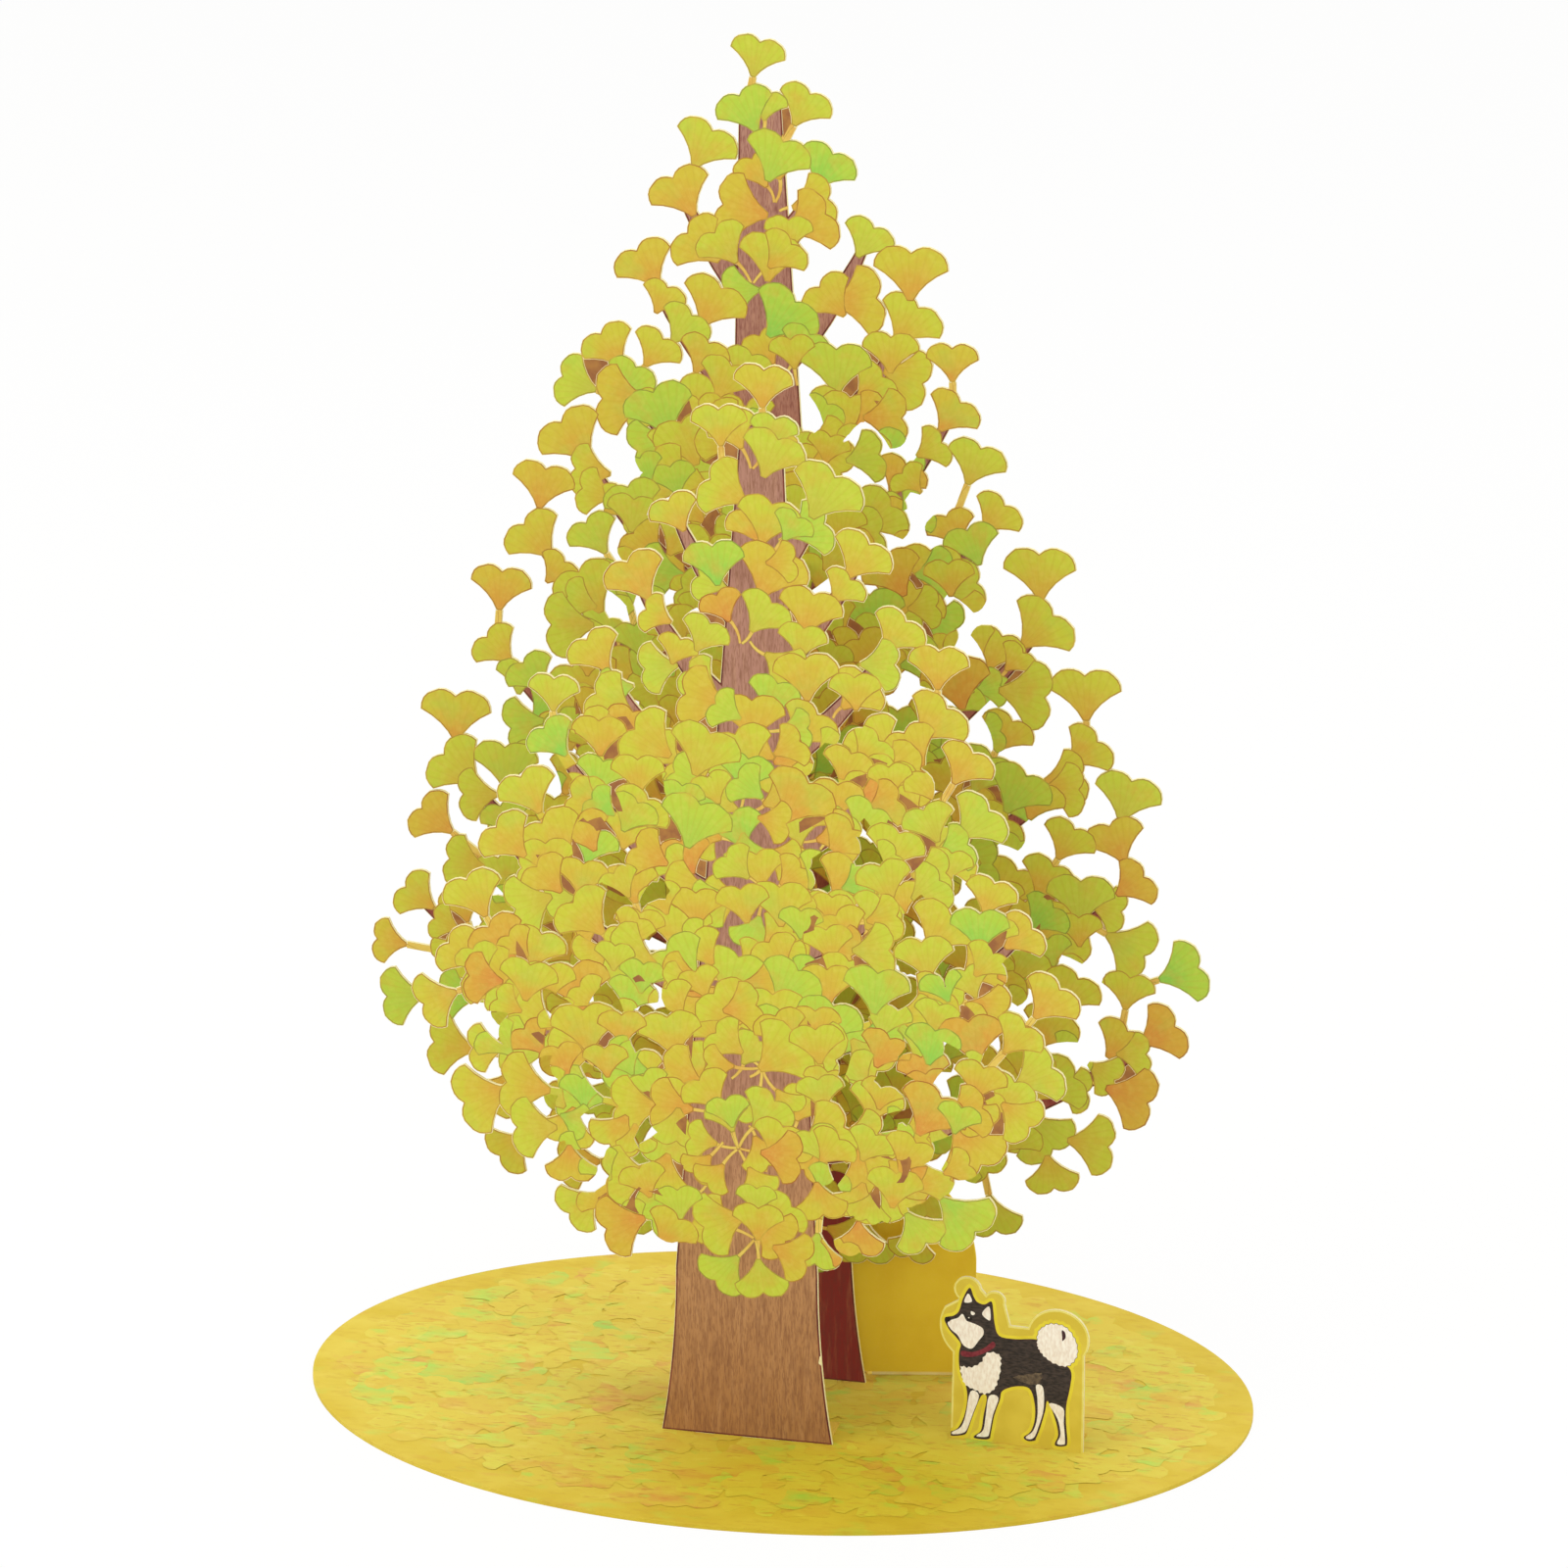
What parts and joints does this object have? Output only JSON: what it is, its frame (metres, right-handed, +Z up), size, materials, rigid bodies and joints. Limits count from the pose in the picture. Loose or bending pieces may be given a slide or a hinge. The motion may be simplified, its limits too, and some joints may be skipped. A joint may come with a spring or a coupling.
{
  "type": "greeting card",
  "caption": "Stand-up paper greeting card: layered die-cut ginkgo trees in autumn yellow on an oval base strewn with fallen leaves, with a small standing dog panel and a plain prop.",
  "frame": {"origin": "under the middle of the oval base, on the surface that the card stands on", "axes": "+X to the right along the oval's length as seen from the printed front, +Y to the back, +Z up"},
  "size_m": [0.12, 0.089, 0.1733],
  "materials": {
    "base_card": "printed, uncoated",
    "rear_tree_card": "printed, uncoated",
    "front_tree_card": "printed, uncoated",
    "link_paper": "plain, uncoated",
    "prop_card": "plain colour, uncoated",
    "dog_card": "printed, uncoated"
  },
  "bodies": {
    "root": {"base_oval": "base_card", "rear_tree": "rear_tree_card", "front_tree": "front_tree_card", "lower_link": "link_paper", "upper_link": "link_paper", "back_prop": "prop_card", "dog_panel": "dog_card"}
  },
  "joints": []
}
